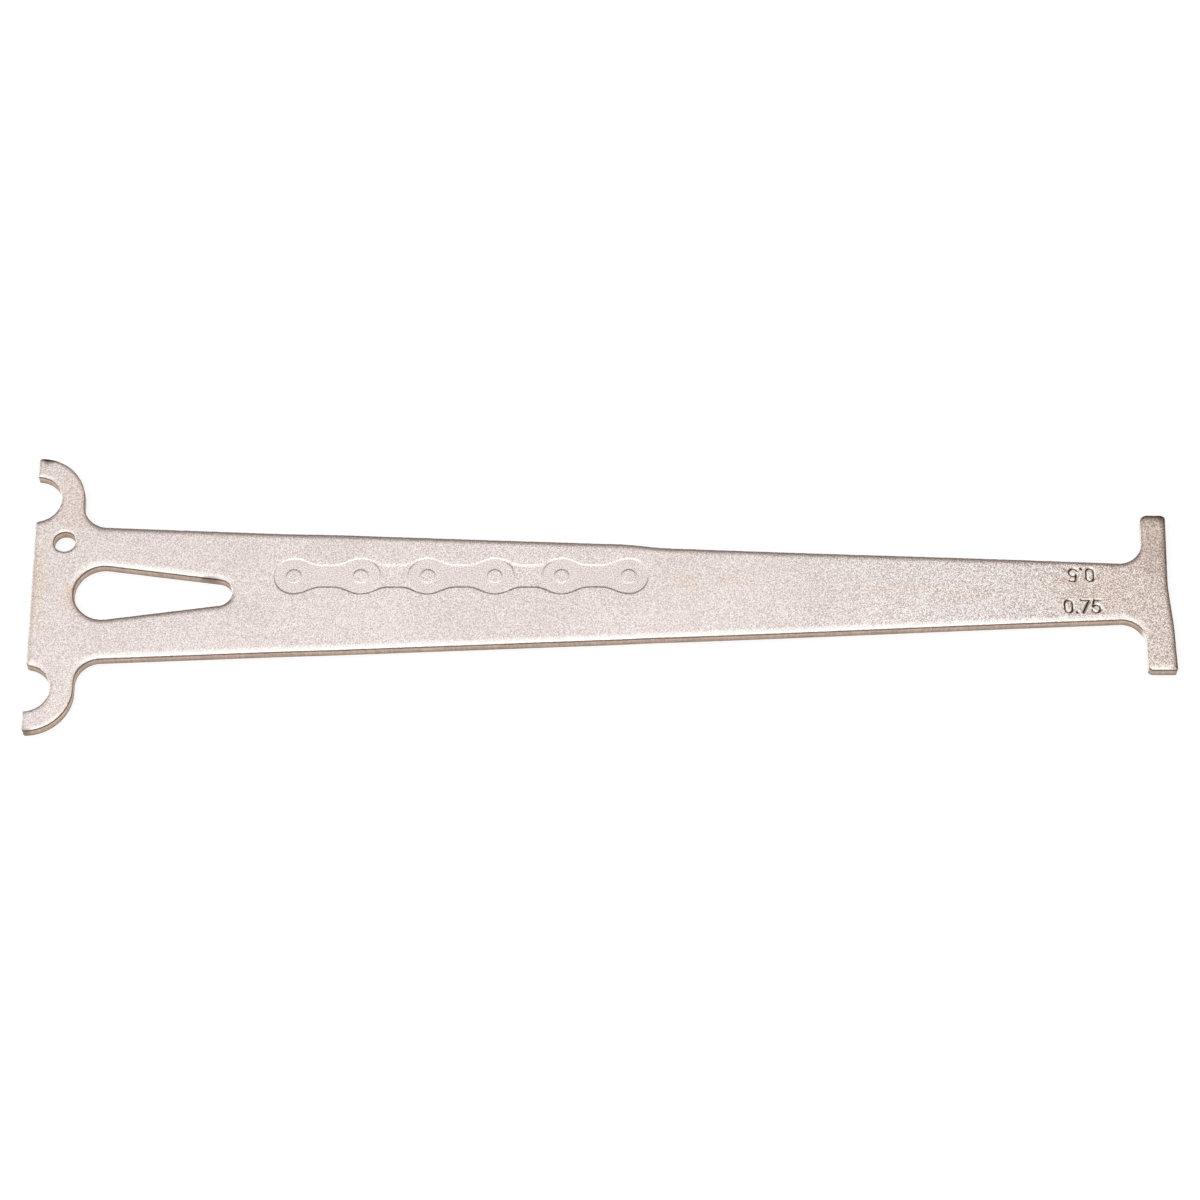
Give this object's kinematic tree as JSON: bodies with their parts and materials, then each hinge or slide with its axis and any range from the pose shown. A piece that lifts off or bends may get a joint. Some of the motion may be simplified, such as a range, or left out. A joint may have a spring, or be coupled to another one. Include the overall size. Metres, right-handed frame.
{
  "type": "chain wear gauge",
  "caption": "Flat stamped steel gauge with roller hooks at one end and a stepped T head that drops between a chain's rollers when the chain has stretched.",
  "frame": {"origin": "under the middle of the outline, on the plane of the back face", "axes": "+X runs along the plate from the hooks to the T head, +Y runs across it towards the 0.5 percent tab, +Z points out of the stamped front face"},
  "size_m": [0.1754, 0.0468, 0.002],
  "materials": {
    "nickel_plate": "satin nickel plating over stamped steel, fine matt grain"
  },
  "bodies": {
    "root": {"gauge_plate": "nickel_plate"}
  },
  "joints": []
}
